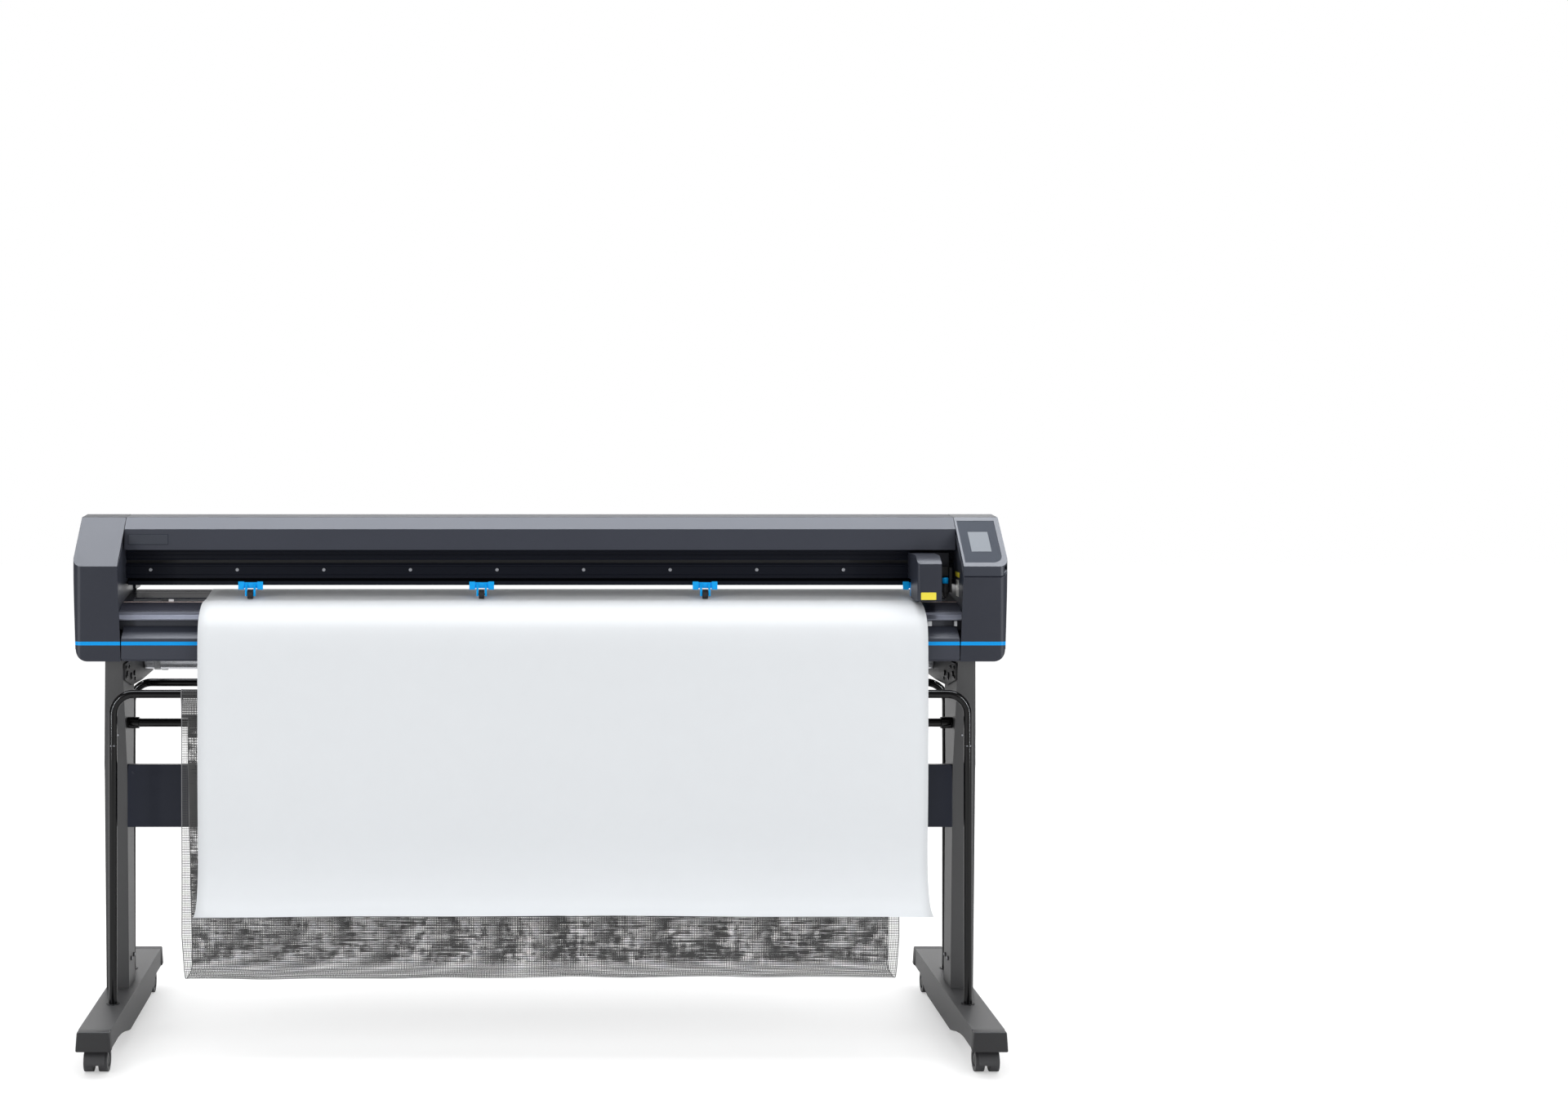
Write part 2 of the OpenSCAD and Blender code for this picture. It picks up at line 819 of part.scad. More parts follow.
module mesh_basket() {
    color("#6b6b6b")
        along_x(-basket_half_w, basket_half_w) {
            sleeve([front_bow_y, front_bow_z], bow_d / 2);
            sleeve([rod_y, rod_z], rod_d / 2);
            difference() {
                polygon(band(fabric_path, fabric_t));
                translate([front_bow_y, front_bow_z]) circle(bow_d / 2 + 0.6);
                translate([rod_y, rod_z]) circle(rod_d / 2 + 0.6);
            }
        }
}

module sleeve(c, r) {
    translate(c) difference() {
        circle(r + 2.2);
        circle(r + 0.4);
    }
}

// ---------- roll support ----------

module roll_brackets() {
    color("#33343a")
        both_sides() {
            difference() {
                along_x(arm_x, arm_x + arm_t) {
                    polygon([
                        [-95, 824], [-95, 790], [0, 765], [130, 760], [rear_roller[0] + 16, 761],
                        [rear_roller[0] + 16, 788], [200, 790], [150, 812], [60, 824]
                    ]);
                    translate(front_roller) circle(14);
                    translate(rear_roller) circle(14);
                }
                shaft_x(arm_x - 1, arm_x + arm_t + 1, front_roller[0], front_roller[1],
                    roller_pin_r + bearing_gap);
                shaft_x(arm_x - 1, arm_x + arm_t + 1, rear_roller[0], rear_roller[1],
                    roller_pin_r + bearing_gap);
            }
            for (p = [[-70, 800], [-20, 790], [20, 790]])
                shaft_x(arm_x - 3, arm_x, p[0], p[1], 6);
        }
}

module support_roller(c) {
    color("#c3c5c9") {
        shaft_x(-roller_x, roller_x, c[0], c[1], roller_r);
        both_sides() shaft_x(roller_x, arm_x + arm_t + 0.5, c[0], c[1], roller_pin_r);
    }
}

// ---------- casters ----------

// One caster, given by the side it is on and the end of the foot. Its wheels trail towards the leg.
module caster_fork(sx, sy) {
    x = sx * caster_x;
    y = sy * caster_y;
    axle_y = y - sy * caster_trail;
    hood_r = caster_r + hood_gap + hood_skin;
    rim_z = caster_r - 6;
    front = [min(sy * hood_r, -sy * 12), max(sy * hood_r, -sy * 12)];
    color("#3c3c3e")
        difference() {
            union() {
                shaft_z(caster_r + hood_r - 4, stem_top, x, y, stem_r);
                // Hood over the front and top of both wheels, and the web between them.
                intersection() {
                    union() {
                        difference() {
                            shaft_x(x - 20, x + 20, axle_y, caster_r, hood_r);
                            shaft_x(x - 21, x + 21, axle_y, caster_r, hood_r - hood_skin);
                        }
                        shaft_x(x - web_half_w, x + web_half_w, axle_y, caster_r, hood_r);
                    }
                    block([x - 30, axle_y + front[0] - 1, rim_z], [x + 30, axle_y + front[1], 60]);
                }
            }
            shaft_x(x - 9, x + 9, axle_y, caster_r, axle_r + bearing_gap);
        }
}

module caster_wheels(sx, sy) {
    x = sx * caster_x;
    y = sy * (caster_y - caster_trail);
    inner = web_half_w + 0.5;
    color("#2c2c2e") {
        shaft_x(x - caster_half_w, x + caster_half_w, y, caster_r, axle_r);
        for (s = [-1, 1])
            difference() {
                shaft_x(min(s * inner, s * caster_half_w) + x, max(s * inner, s * caster_half_w) + x,
                    y, caster_r, caster_r);
                shaft_x(x + s * caster_half_w - 3, x + s * caster_half_w + 3, y, caster_r, 15);
            }
    }
}

// ---------- pinch rollers ----------

module pinch_lift_bar() {
    color("#2a2c33") {
        along_x(-plate_x + 4.7, plate_x - 4.7) square_from([-1, 987.5], [24, 996.5]);
        both_sides() shaft_x(plate_x - 5, plate_x + plate_t + 1, lift_y, lift_z, 3);
        // Lever clamped on the bar's rear edge, with its grip at the back.
        along_x(-906, -900)
            polygon([
                [10, 980.5], [27, 977], [62, 977], [128, 989], [128, 996], [62, 985], [25.6, 985],
                [25.6, 998.5], [10, 998.5], [10, 996.55], [24.05, 996.55], [24.05, 987.45], [10, 987.45]
            ]);
        shaft_x(-913, -890, 130, 993, 6);
    }
}

module pinch_bracket(i) {
    x = pinch_x[i];
    color("#03a0f1")
        difference() {
            union() {
                // Bar across, with a pad at each end.
                block([x - 27, -5.5, 984], [x + 27, -1.3, 994]);
                for (s = [-1, 1])
                    block([x + s * 21 - 6.5, -8, 978], [x + s * 21 + 6.5, -5.5, 996]);
                // Cheeks that hold the axle.
                for (s = [-1, 1])
                    along_x(x + s * 9.25 - 2.25, x + s * 9.25 + 2.25)
                        polygon([
                            [drum_y - 5, pinch_z - 4], [drum_y + 4, pinch_z - 4], [drum_y + 6, pinch_z + 4],
                            [-1.3, 984], [-1.3, 992], [-6, 992], [drum_y - 5, pinch_z + 9]
                        ]);
                // Foot that slides on the lift bar.
                block([x - 15, -5.5, 981], [x + 15, 10, 987.2]);
            }
            shaft_x(x - 7, x + 7, drum_y, pinch_z, pinch_r + 1);
            shaft_x(x - 13, x + 13, drum_y, pinch_z, 2 + bearing_gap);
        }
}

module pinch_wheel(i) {
    color("#252528") {
        shaft_x(pinch_x[i] - 6, pinch_x[i] + 6, drum_y, pinch_z, pinch_r);
        shaft_x(pinch_x[i] - 11.2, pinch_x[i] + 11.2, drum_y, pinch_z, 2);
    }
}

module drive_drum() {
    color("#9fa2a8") {
        shaft_x(-900, 900, drum_y, drum_z, drum_r);
        both_sides() shaft_x(899, plate_x + plate_t + 2, drum_y, drum_z, journal_r);
    }
}

// ---------- cutting head ----------

head_x1 = carriage_x + 91;

module carriage_plate() {
    color("#54565c") {
        block([carriage_x + 1, -9, 1006], [head_x1, -3, 1060]);
        // Tongue through the beam's slot, and the clamp around the belt.
        block([carriage_x + 20, -3, slot_z + 1], [carriage_x + 70, 9.5, slot_z + slot_h - 1]);
        block([carriage_x + 20, 9, belt_z - 2], [carriage_x + 70, 11, belt_z + belt_h + 2]);
    }
}

cover_y0 = -front_y;
cover_z0 = 964;
cover_z1 = 1050;
cover_side = [
    [cover_y0, cover_z0 + 3], [cover_y0 + 3, cover_z0], [-46, cover_z0], [-46, 1004.5], [-10, 1004.5],
    [-10, cover_z1 + 12], [cover_y0 + 26, cover_z1 + 12], [cover_y0 + 5, cover_z1], [cover_y0, cover_z1 - 5]
];

cover_skin = 2.5;
cover_edge_r = 7;

// The plan of the cover, t inside it: its front left edge is rounded.
module cover_plan(t) {
    r = cover_edge_r - t;
    x = carriage_x + t;
    y = cover_y0 + t;
    translate([x, y + r]) square([carriage_w - 2 * t, -y - r]);
    translate([x + r, y]) square([carriage_w - 2 * t - r, r + 1]);
    translate([x + r, y + r]) circle(r);
}

module cover_solid(t) {
    intersection() {
        along_x(carriage_x - 1, carriage_x + carriage_w + 1)
            polygon(t == 0 ? cover_side : inset(cover_side, t));
        along_z(cover_z0 - 1, cover_z1 + 20) cover_plan(t);
    }
}

module carriage_cover() {
    color("#3b3e47")
        difference() {
            cover_solid(0);
            cover_solid(cover_skin);
            // Open at the back.
            block([carriage_x + cover_skin, -14, 1007],
                [carriage_x + carriage_w - cover_skin, -9, cover_z1 + 9.5]);
        }
}

tool_x = carriage_x + 78;

module tool_holder() {
    color("#2e3036")
        difference() {
            union() {
                block([tool_x + 8, blade_y - 8, 975], [tool_x + 13, -27.5, 1030]);
                block([tool_x - 12, -26, 1010], [tool_x + 13, -9.4, 1030]);
                block([tool_x + 8, -28, 1010], [tool_x + 13, -25, 1030]);
                shaft_z(975, 992, tool_x, blade_y, 8.5);
                // Thumb screw of the clamp.
                shaft_x(tool_x - 15, tool_x - 7, blade_y, 984, 3.5);
            }
            shaft_z(974, 993, tool_x, blade_y, 6 + bearing_gap);
        }
}

module blade_holder() {
    color("#2b2d33") {
        shaft_z(966, 1007, tool_x, blade_y, 6);
        shaft_z(992.4, 994, tool_x, blade_y, 7.5);
        translate([tool_x, blade_y, 962]) cylinder(h = 4, r1 = 1.2, r2 = 4);
    }
}

// ---------- the assembly ----------

left_end_cap();
right_end_cap();
panel_housing();
control_panel();
touch_screen();
accent_trim();
hood();
rear_cover();
front_cover();
platen();
platen_edge();
cutting_strip();
carriage_beam();
beam_screws();
base_chassis();
side_plates();
drive_motors();
carriage_belt();
power_inlet();
power_switch();
vinyl_sheet();
left_leg();
right_leg();
left_foot();
right_foot();
foot_end_caps();
cross_beam();
front_basket_bow();
rear_basket_bow();
basket_rod();
mesh_basket();
roll_brackets();
caster_fork(-1, -1);  // caster_fork_front_left
caster_fork(1, -1);  // caster_fork_front_right
caster_fork(-1, 1);  // caster_fork_rear_left
caster_fork(1, 1);  // caster_fork_rear_right
caster_wheels(-1, -1);  // caster_wheels_front_left
caster_wheels(1, -1);  // caster_wheels_front_right
caster_wheels(-1, 1);  // caster_wheels_rear_left
caster_wheels(1, 1);  // caster_wheels_rear_right
pinch_lift_bar();
pinch_bracket(0);  // pinch_bracket_1
pinch_bracket(1);  // pinch_bracket_2
pinch_bracket(2);  // pinch_bracket_3
pinch_bracket(3);  // pinch_bracket_4
pinch_wheel(0);  // pinch_wheel_1
pinch_wheel(1);  // pinch_wheel_2
pinch_wheel(2);  // pinch_wheel_3
pinch_wheel(3);  // pinch_wheel_4
drive_drum();
carriage_plate();
carriage_cover();
tool_holder();
blade_holder();
pulley(pulley_x);  // drive_pulley
pulley(-pulley_x);  // idler_pulley
media_roll();
media_core();
support_roller(front_roller);  // front_support_roller
support_roller(rear_roller);  // rear_support_roller
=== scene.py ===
"""Looks of the roll cutter: camera, studio, materials, the loaded sheet, the net basket and the details."""

import json
import math

import bmesh
import bpy
from mathutils import Matrix, Vector


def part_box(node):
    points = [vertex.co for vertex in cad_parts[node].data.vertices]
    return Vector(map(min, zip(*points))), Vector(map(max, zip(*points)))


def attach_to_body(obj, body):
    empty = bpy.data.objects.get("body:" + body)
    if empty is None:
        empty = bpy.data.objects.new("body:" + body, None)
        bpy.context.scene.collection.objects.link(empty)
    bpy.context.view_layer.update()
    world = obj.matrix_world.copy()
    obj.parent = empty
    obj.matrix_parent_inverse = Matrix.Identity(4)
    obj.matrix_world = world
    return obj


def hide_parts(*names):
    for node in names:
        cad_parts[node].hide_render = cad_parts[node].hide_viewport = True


MM = 0.001
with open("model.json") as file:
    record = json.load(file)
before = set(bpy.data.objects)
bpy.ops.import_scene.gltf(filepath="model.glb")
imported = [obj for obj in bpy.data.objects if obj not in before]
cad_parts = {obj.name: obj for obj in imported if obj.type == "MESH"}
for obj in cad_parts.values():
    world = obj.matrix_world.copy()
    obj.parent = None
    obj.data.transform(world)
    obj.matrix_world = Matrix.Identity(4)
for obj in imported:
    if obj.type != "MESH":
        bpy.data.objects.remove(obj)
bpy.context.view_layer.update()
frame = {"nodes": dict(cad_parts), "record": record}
nodes = frame["nodes"]


def clamp(value):
    """The value, kept between 0 and 1."""
    return min(max(value, 0), 1)


# ---------- camera and studio ----------

def make_camera():
    """A level camera in front of the left half, its frame shifted towards the middle of the object."""
    data = bpy.data.cameras.new("camera")
    data.sensor_width = 36
    data.lens = 50.9
    data.shift_x = 0.173
    data.shift_y = -0.114
    camera = bpy.data.objects.new("camera", data)
    camera.location = (-0.060, -4.930, 1.454)
    camera.rotation_euler = (math.radians(90), 0, 0)
    bpy.context.scene.collection.objects.link(camera)
    bpy.context.scene.camera = camera


def area_light(name, place, target, size, power, gloss_only=False):
    """A softbox that the camera doesn't see. One that is gloss_only shows in reflections alone."""
    data = bpy.data.lights.new(name, "AREA")
    data.shape = "RECTANGLE"
    data.size, data.size_y = size
    data.energy = power
    light = bpy.data.objects.new(name, data)
    light.location = place
    light.visible_camera = False
    light.visible_diffuse = not gloss_only
    data.color = (0.91, 0.945, 1.0) if gloss_only else (1.0, 1.0, 1.0)
    light.rotation_euler = (Vector(target) - Vector(place)).to_track_quat("-Z", "Y").to_euler()
    bpy.context.scene.collection.objects.link(light)


def make_world():
    """A white surround that reflects weakly, so that gloss keeps its contrast."""
    world = bpy.data.worlds.new("studio")
    world.use_nodes = True
    n = Nodes(world.node_tree)
    background = world.node_tree.nodes["Background"]
    background.inputs["Color"].default_value = (1.0, 1.0, 1.0, 1)
    path = n.add("ShaderNodeLightPath")
    shown = n.add("ShaderNodeMapRange")
    shown.inputs["To Min"].default_value = 0.97
    shown.inputs["To Max"].default_value = 1.0
    strength = n.add("ShaderNodeMapRange")
    strength.inputs["To Max"].default_value = 0.2
    n.link(path.outputs["Is Camera Ray"], shown.inputs["Value"])
    n.link(shown.outputs["Result"], strength.inputs["To Min"])
    n.link(path.outputs["Is Glossy Ray"], strength.inputs["Value"])
    n.link(strength.outputs["Result"], background.inputs["Strength"])
    bpy.context.scene.world = world
    bpy.context.scene.view_settings.view_transform = "Standard"


def make_studio():
    """A pale floor in a white surround, a long overhead softbox and a tall one at each side."""
    make_world()
    area_light("overhead", (0, 0.15, 3.2), (0, 0.15, 0.9), (5.4, 1.3), 50)
    area_light("overhead_sheen", (0, 0.15, 3.3), (0, 0.15, 0.9), (5.4, 1.3), 265, gloss_only=True)
    area_light("left", (-2.6, -2.6, 1.2), (0, 0, 0.7), (0.7, 2.2), 11)
    area_light("right", (2.7, -2.4, 1.2), (0, 0, 0.7), (0.7, 2.2), 11)
    area_light("left_sheen", (-3.2, -3.0, 1.2), (0, 0, 0.7), (0.14, 2.2), 60, gloss_only=True)
    area_light("right_sheen", (3.3, -2.8, 1.2), (0, 0, 0.7), (0.14, 2.2), 60, gloss_only=True)
    area_light("back", (0, 4.0, 1.2), (0, 0, 0.9), (6.0, 1.8), 60)
    mesh = bpy.data.meshes.new("floor")
    half = 12
    corners = [(-half, -half, 0), (half, -half, 0), (half, half, 0), (-half, half, 0)]
    mesh.from_pydata(corners, [], [(0, 1, 2, 3)])
    floor = bpy.data.objects.new("floor", mesh)
    bpy.context.scene.collection.objects.link(floor)
    paper = material("floor_paper", (218, 218, 218), 0.8, bump=(60, 0.01), mottle=0.004, specular=0.1)
    n = Nodes(paper.node_tree)
    glow = paper.node_tree.nodes["Principled BSDF"].inputs
    glow["Emission Color"].default_value = (1, 1, 1, 1)
    path = n.add("ShaderNodeLightPath")
    shown = n.add("ShaderNodeMapRange")
    shown.inputs["To Max"].default_value = 0.38
    n.link(path.outputs["Is Camera Ray"], shown.inputs["Value"])
    n.link(shown.outputs["Result"], glow["Emission Strength"])
    mesh.materials.append(paper)


# ---------- materials ----------

def linear(rgb):
    """An 8-bit display colour as the linear colour that Blender uses."""
    return [(c / 255 / 12.92) if c <= 10 else ((c / 255 + 0.055) / 1.055) ** 2.4 for c in rgb]


class Nodes:
    """A short way to add and link shader nodes."""

    def __init__(self, tree):
        self.tree = tree

    def add(self, kind, **inputs):
        node = self.tree.nodes.new(kind)
        for name, value in inputs.items():
            node.inputs[name.replace("_", " ")].default_value = value
        return node

    def link(self, a, b):
        self.tree.links.new(a, b)


def ramp(n, factor, low, high, start=0.35, end=0.65):
    """A colour ramp from low to high."""
    node = n.add("ShaderNodeValToRGB")
    node.color_ramp.elements[0].position = start
    node.color_ramp.elements[1].position = end
    node.color_ramp.elements[0].color = (*low, 1)
    node.color_ramp.elements[1].color = (*high, 1)
    n.link(factor, node.inputs["Fac"])
    return node


def material(name, rgb, rough, metallic=0.0, bump=(900, 0.15), mottle=0.06, rough_spread=0.07,
             stretch=(1, 1, 1), coat=0.0, depth=0.0004, sheen=0.0, specular=0.5):
    """Principled material: a fine grain in the bump, slow colour variation, and both in the roughness.

    bump is (grain per metre, strength), and stretch draws the grain out along an axis, as brushing does.
    """
    made = bpy.data.materials.new(name)
    made.use_nodes = True
    n = Nodes(made.node_tree)
    shader = made.node_tree.nodes["Principled BSDF"]
    shader.inputs["Metallic"].default_value = metallic
    shader.inputs["Coat Weight"].default_value = coat
    shader.inputs["Coat Roughness"].default_value = 0.12
    shader.inputs["Sheen Weight"].default_value = sheen
    shader.inputs["Specular IOR Level"].default_value = specular
    place = n.add("ShaderNodeTexCoord")
    mapping = n.add("ShaderNodeMapping", Scale=stretch)
    n.link(place.outputs["Object"], mapping.inputs["Vector"])
    grain = n.add("ShaderNodeTexNoise", Scale=bump[0], Detail=4.0, Roughness=0.6)
    slow = n.add("ShaderNodeTexNoise", Scale=5.0, Detail=5.0, Roughness=0.55)
    n.link(mapping.outputs["Vector"], grain.inputs["Vector"])
    n.link(place.outputs["Object"], slow.inputs["Vector"])
    base = linear(rgb)
    both = n.add("ShaderNodeMath")
    both.operation = "MULTIPLY_ADD"
    both.inputs[1].default_value = 0.5
    half_slow = n.add("ShaderNodeMath")
    half_slow.operation = "MULTIPLY"
    half_slow.inputs[1].default_value = 0.5
    n.link(slow.outputs["Fac"], half_slow.inputs[0])
    n.link(grain.outputs["Fac"], both.inputs[0])
    n.link(half_slow.outputs["Value"], both.inputs[2])
    darker = [c * (1 - mottle) for c in base]
    lighter = [c * (1 + mottle) for c in base]
    colour = ramp(n, both.outputs["Value"], darker, lighter)
    n.link(colour.outputs["Color"], shader.inputs["Base Color"])
    gloss = n.add("ShaderNodeMapRange")
    gloss.inputs["To Min"].default_value = max(0.03, rough - rough_spread)
    gloss.inputs["To Max"].default_value = min(1.0, rough + rough_spread)
    n.link(both.outputs["Value"], gloss.inputs["Value"])
    n.link(gloss.outputs["Result"], shader.inputs["Roughness"])
    relief = n.add("ShaderNodeBump", Strength=bump[1], Distance=depth)
    n.link(grain.outputs["Fac"], relief.inputs["Height"])
    n.link(relief.outputs["Normal"], shader.inputs["Normal"])
    return made


# How far along the net its back wall starts, in metres.
NET_BACK_START = 0.775
# The two runs of threads: the axis across them, their pitch in metres, and the share that is thread.
NET_THREADS = (("X", 0.0034, 0.29), ("Y", 0.0038, 0.32))


def mesh_material():
    """Open netting, its threads of uneven width, with nothing between them. The UV map is in metres."""
    made = material("net_threads", (70, 70, 70), 0.7, bump=(2500, 0.3), mottle=0.2, sheen=0.15)
    n = Nodes(made.node_tree)
    shader = made.node_tree.nodes["Principled BSDF"]
    uv = n.add("ShaderNodeUVMap")
    split = n.add("ShaderNodeSeparateXYZ")
    n.link(uv.outputs["UV"], split.inputs["Vector"])
    fields = []
    for scale in ((60, 42, 1), (16, 210, 1)):
        stretched = n.add("ShaderNodeMapping", Scale=scale)
        field = n.add("ShaderNodeTexNoise", Scale=1.0, Detail=3.0, Roughness=0.6)
        n.link(uv.outputs["UV"], stretched.inputs["Vector"])
        n.link(stretched.outputs["Vector"], field.inputs["Vector"])
        fields.append(field.outputs["Fac"])
    patches = n.add("ShaderNodeMath")
    patches.operation = "ADD"
    n.link(fields[0], patches.inputs[0])
    n.link(fields[1], patches.inputs[1])
    # The back wall is of closer, more uneven netting than the front wall and the floor.
    extra = n.add("ShaderNodeMapRange")
    extra.inputs["From Min"].default_value = 0.8
    extra.inputs["From Max"].default_value = 1.2
    extra.inputs["To Min"].default_value = 0.02
    extra.inputs["To Max"].default_value = 0.56
    back = n.add("ShaderNodeMapRange")
    back.inputs["From Min"].default_value = NET_BACK_START
    back.inputs["From Max"].default_value = NET_BACK_START + 0.02
    closer = n.add("ShaderNodeMath")
    closer.operation = "MULTIPLY"
    n.link(patches.outputs["Value"], extra.inputs["Value"])
    n.link(split.outputs["Y"], back.inputs["Value"])
    n.link(extra.outputs["Result"], closer.inputs[0])
    n.link(back.outputs["Result"], closer.inputs[1])
    is_thread = []
    for axis, pitch, thread in NET_THREADS:
        along = n.add("ShaderNodeMath")
        along.operation = "DIVIDE"
        along.inputs[1].default_value = pitch
        part = n.add("ShaderNodeMath")
        part.operation = "FRACT"
        width = n.add("ShaderNodeMath")
        width.inputs[1].default_value = thread
        under = n.add("ShaderNodeMath")
        under.operation = "LESS_THAN"
        n.link(split.outputs[axis], along.inputs[0])
        n.link(along.outputs["Value"], part.inputs[0])
        n.link(closer.outputs["Value"], width.inputs[0])
        n.link(part.outputs["Value"], under.inputs[0])
        n.link(width.outputs["Value"], under.inputs[1])
        is_thread.append(under.outputs["Value"])
    either = n.add("ShaderNodeMath")
    either.operation = "MAXIMUM"
    n.link(is_thread[0], either.inputs[0])
    n.link(is_thread[1], either.inputs[1])
    n.link(either.outputs["Value"], shader.inputs["Alpha"])
    return made


def ring_material(name, rgb):
    """The wound end of a roll: fine rings round the piece's own X axis."""
    made = material(name, rgb, 0.4, bump=(600, 0.05), mottle=0.03)
    n = Nodes(made.node_tree)
    shader = made.node_tree.nodes["Principled BSDF"]
    place = n.add("ShaderNodeTexCoord")
    flat = n.add("ShaderNodeMapping", Scale=(0, 1, 1))
    rings = n.add("ShaderNodeTexWave", Scale=90.0, Distortion=0.4, Detail=1.0)
    rings.wave_type = "RINGS"
    rings.rings_direction = "X"
    n.link(place.outputs["Object"], flat.inputs["Vector"])
    n.link(flat.outputs["Vector"], rings.inputs["Vector"])
    base = linear(rgb)
    shade = ramp(n, rings.outputs["Fac"], [c * 0.72 for c in base], base, 0.2, 0.8)
    n.link(shade.outputs["Color"], shader.inputs["Base Color"])
    return made


# Colour, roughness, metallic share and the rest of each material's settings, by slot.
LOOKS = {
    "body_grey": ((41, 44, 55), 0.42, 0.0, dict(bump=(1400, 0.3), mottle=0.08, specular=0.3)),
    "hood_grey": ((57, 60, 70), 0.4, 0.0, dict(bump=(1200, 0.18), mottle=0.05, specular=0.26)),
    "panel_grey": ((50, 54, 65), 0.36, 0.0, dict(bump=(1400, 0.2), mottle=0.04, specular=0.35)),
    "panel_dark": ((28, 36, 49), 0.5, 0.0, dict(bump=(700, 0.04), mottle=0.04, specular=0.13)),
    "screen": ((106, 112, 119), 0.45, 0.0, dict(bump=(300, 0.02), mottle=0.02, specular=0.2)),
    "accent_blue": ((2, 152, 230), 0.35, 0.0, dict(bump=(400, 0.03), mottle=0.03, specular=0.15)),
    "platen_grey": ((44, 45, 56), 0.42, 0.2, dict(bump=(900, 0.12), mottle=0.07, specular=0.3)),
    "edge_metal": ((112, 115, 127), 0.38, 0.3, dict(bump=(500, 0.2), stretch=(0.02, 1, 1), specular=0.3)),
    "strip_pad": ((240, 216, 206), 0.6, 0.0, dict(bump=(900, 0.2), mottle=0.05)),
    "beam_black": ((11, 15, 27), 0.38, 0.0, dict(bump=(700, 0.1), stretch=(0.03, 1, 1), specular=0.15)),
    "screw_steel": ((165, 167, 173), 0.3, 0.35, dict(bump=(900, 0.1))),
    "sheet_steel": ((58, 60, 67), 0.45, 0.5, dict(bump=(300, 0.15), mottle=0.15)),
    "frame_paint": ((68, 68, 69), 0.45, 0.0, dict(bump=(1600, 0.4), mottle=0.07)),
    "bracket_paint": ((24, 24, 26), 0.45, 0.0, dict(bump=(1600, 0.3), mottle=0.1, specular=0.2)),
    "panel_navy": ((31, 35, 48), 0.36, 0.0, dict(bump=(1200, 0.15), mottle=0.06, specular=0.25)),
    "moulded_black": ((31, 31, 33), 0.45, 0.0, dict(bump=(1500, 0.35), mottle=0.08)),
    "tube_black": ((6, 6, 7), 0.1, 0.0, dict(bump=(150, 0.02), mottle=0.06, rough_spread=0.02,
        specular=0.35)),
    "vinyl_white": ((224, 227, 230), 0.5, 0.0, dict(bump=(25, 0.02), mottle=0.006, specular=0.05)),
    "card_core": ((150, 118, 80), 0.8, 0.0, dict(bump=(500, 0.3), mottle=0.1)),
    "roller_steel": ((205, 207, 212), 0.28, 0.9, dict(bump=(900, 0.08), stretch=(0.05, 1, 1))),
    "drum_steel": ((150, 152, 156), 0.5, 0.7, dict(bump=(2500, 0.6), mottle=0.12)),
    "pinch_blue": ((0, 174, 254), 0.35, 0.0, dict(bump=(500, 0.05), mottle=0.05, specular=0.2)),
    "pinch_rubber": ((40, 37, 37), 0.7, 0.0, dict(bump=(1800, 0.4), mottle=0.12)),
    "belt_rubber": ((28, 28, 30), 0.65, 0.0, dict(bump=(1800, 0.3))),
    "caster_black": ((58, 58, 60), 0.38, 0.0, dict(bump=(1200, 0.3), mottle=0.1)),
    "switch_red": ((150, 20, 24), 0.25, 0.0, dict(bump=(400, 0.05), coat=0.3)),
    "label_yellow": ((240, 222, 58), 0.4, 0.0, dict(bump=(400, 0.04), mottle=0.03)),
    "label_white": ((205, 206, 200), 0.4, 0.0, dict(bump=(400, 0.04), mottle=0.05)),
    "bush_white": ((205, 207, 210), 0.4, 0.0, dict(bump=(900, 0.1), mottle=0.04)),
    "hem_grey": ((120, 120, 122), 0.7, 0.0, dict(bump=(2200, 0.5), mottle=0.1)),
    "plate_grey": ((54, 58, 68), 0.3, 0.0, dict(bump=(900, 0.05), mottle=0.03)),
}


def make_materials():
    """One material for each of the record's slots, and a few for the small details."""
    made = {}
    for name, (rgb, rough, metallic, rest) in LOOKS.items():
        made[name] = material(name, rgb, rough, metallic, **rest)
    made["mesh_fabric"] = mesh_material()
    made["roll_end"] = ring_material("roll_end", (205, 210, 214))
    return made


# ---------- mesh helpers ----------

def new_object(name, bm, mat, smooth=True):
    """Turns a finished bmesh into an object in the scene."""
    mesh = bpy.data.meshes.new(name)
    bm.to_mesh(mesh)
    bm.free()
    made = bpy.data.objects.new(name, mesh)
    bpy.context.scene.collection.objects.link(made)
    mesh.materials.append(mat)
    if smooth:
        mesh.shade_smooth()
    return made


def soften(obj, width, segments=2, limit=35):
    """Rounds the sharp edges of a finished solid."""
    bevel = obj.modifiers.new("edges", "BEVEL")
    bevel.width = width
    bevel.segments = segments
    bevel.limit_method = "ANGLE"
    bevel.angle_limit = math.radians(limit)
    bevel.harden_normals = False
    bevel.use_clamp_overlap = True
    normals = obj.modifiers.new("normals", "WEIGHTED_NORMAL")
    normals.keep_sharp = False
    normals.weight = 80


def finish_cad(name, mat, width=0.0):
    """Gives a CAD node its material, and soft edges of the given width."""
    obj = nodes[name]
    obj.data.materials.clear()
    obj.data.materials.append(mat)
    weld = obj.modifiers.new("weld", "WELD")
    weld.merge_threshold = 0.00001
    if width:
        tidy = obj.modifiers.new("flat_faces", "DECIMATE")
        tidy.decimate_type = "DISSOLVE"
        tidy.angle_limit = math.radians(1.0)
        soften(obj, width)


